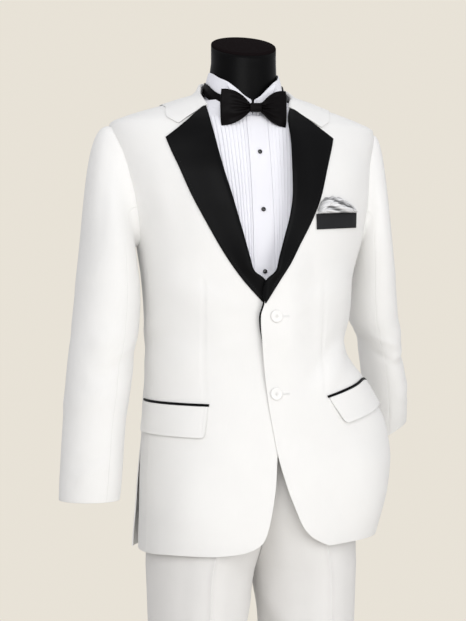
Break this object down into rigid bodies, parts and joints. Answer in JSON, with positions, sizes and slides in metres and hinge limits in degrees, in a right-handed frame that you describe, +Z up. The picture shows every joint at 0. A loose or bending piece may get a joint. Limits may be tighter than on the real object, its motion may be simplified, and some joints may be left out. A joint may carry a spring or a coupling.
{
  "type": "tuxedo on a dress form",
  "caption": "White single-breasted tuxedo with black satin lapels, pleated wing-collar shirt and bow tie, worn by a limbless dress form on a pole and round base.",
  "frame": {"origin": "centre of the base plate's underside, on the floor", "axes": "+Z up; the wearer faces -Y, so the wearer's left is +X"},
  "size_m": [0.6493, 0.4024, 1.615],
  "materials": {
    "white_suiting": "fine matte wool-blend twill",
    "white_trousering": "fine matte wool-blend twill",
    "black_satin": "satin weave with a soft sheen",
    "white_shirting": "plain cotton weave",
    "black_tie_satin": "satin weave",
    "grey_silk": "silk twill with a sheen",
    "white_button": "polished",
    "black_stud": "polished",
    "black_jersey": "black jersey drawn over a moulded form",
    "black_lid": "painted lid",
    "brushed_steel": "brushed"
  },
  "bodies": {
    "root": {"bow_tie_band": "black_tie_satin", "bow_tie_knot": "black_tie_satin", "bow_tie_wing_left": "black_tie_satin", "bow_tie_wing_right": "black_tie_satin", "breast_welt": "black_satin", "cuff_button_left_1": "white_button", "cuff_button_left_2": "white_button", "cuff_button_left_3": "white_button", "cuff_button_right_1": "white_button", "cuff_button_right_2": "white_button", "cuff_button_right_3": "white_button", "dress_form": "black_jersey", "front_button_lower": "white_button", "front_button_upper": "white_button", "jacket_back_left": "white_suiting", "jacket_back_right": "white_suiting", "jacket_collar": "white_suiting", "jacket_front_left": "white_suiting", "jacket_front_right": "white_suiting", "jacket_side_left": "white_suiting", "jacket_side_right": "white_suiting", "lapel_left": "black_satin", "lapel_right": "black_satin", "neck_cap": "black_lid", "pocket_flap_left": "white_suiting", "pocket_flap_right": "white_suiting", "pocket_jet_left": "black_satin", "pocket_jet_right": "black_satin", "pocket_square": "grey_silk", "shirt_back": "white_shirting", "shirt_bib_left": "white_shirting", "shirt_bib_right": "white_shirting", "shirt_collar_stand": "white_shirting", "shirt_collar_wing_left": "white_shirting", "shirt_collar_wing_right": "white_shirting", "shirt_front_left": "white_shirting", "shirt_front_right": "white_shirting", "shirt_placket": "white_shirting", "shirt_stud_1": "black_stud", "shirt_stud_2": "black_stud", "shirt_stud_3": "black_stud", "sleeve_top_left": "white_suiting", "sleeve_top_right": "white_suiting", "sleeve_under_left": "white_suiting", "sleeve_under_right": "white_suiting", "stand_base": "brushed_steel", "stand_flange": "brushed_steel", "stand_pole": "brushed_steel", "trouser_back_left": "white_trousering", "trouser_back_right": "white_trousering", "trouser_front_left": "white_trousering", "trouser_front_right": "white_trousering", "trouser_waistband": "white_trousering"}
  },
  "joints": []
}
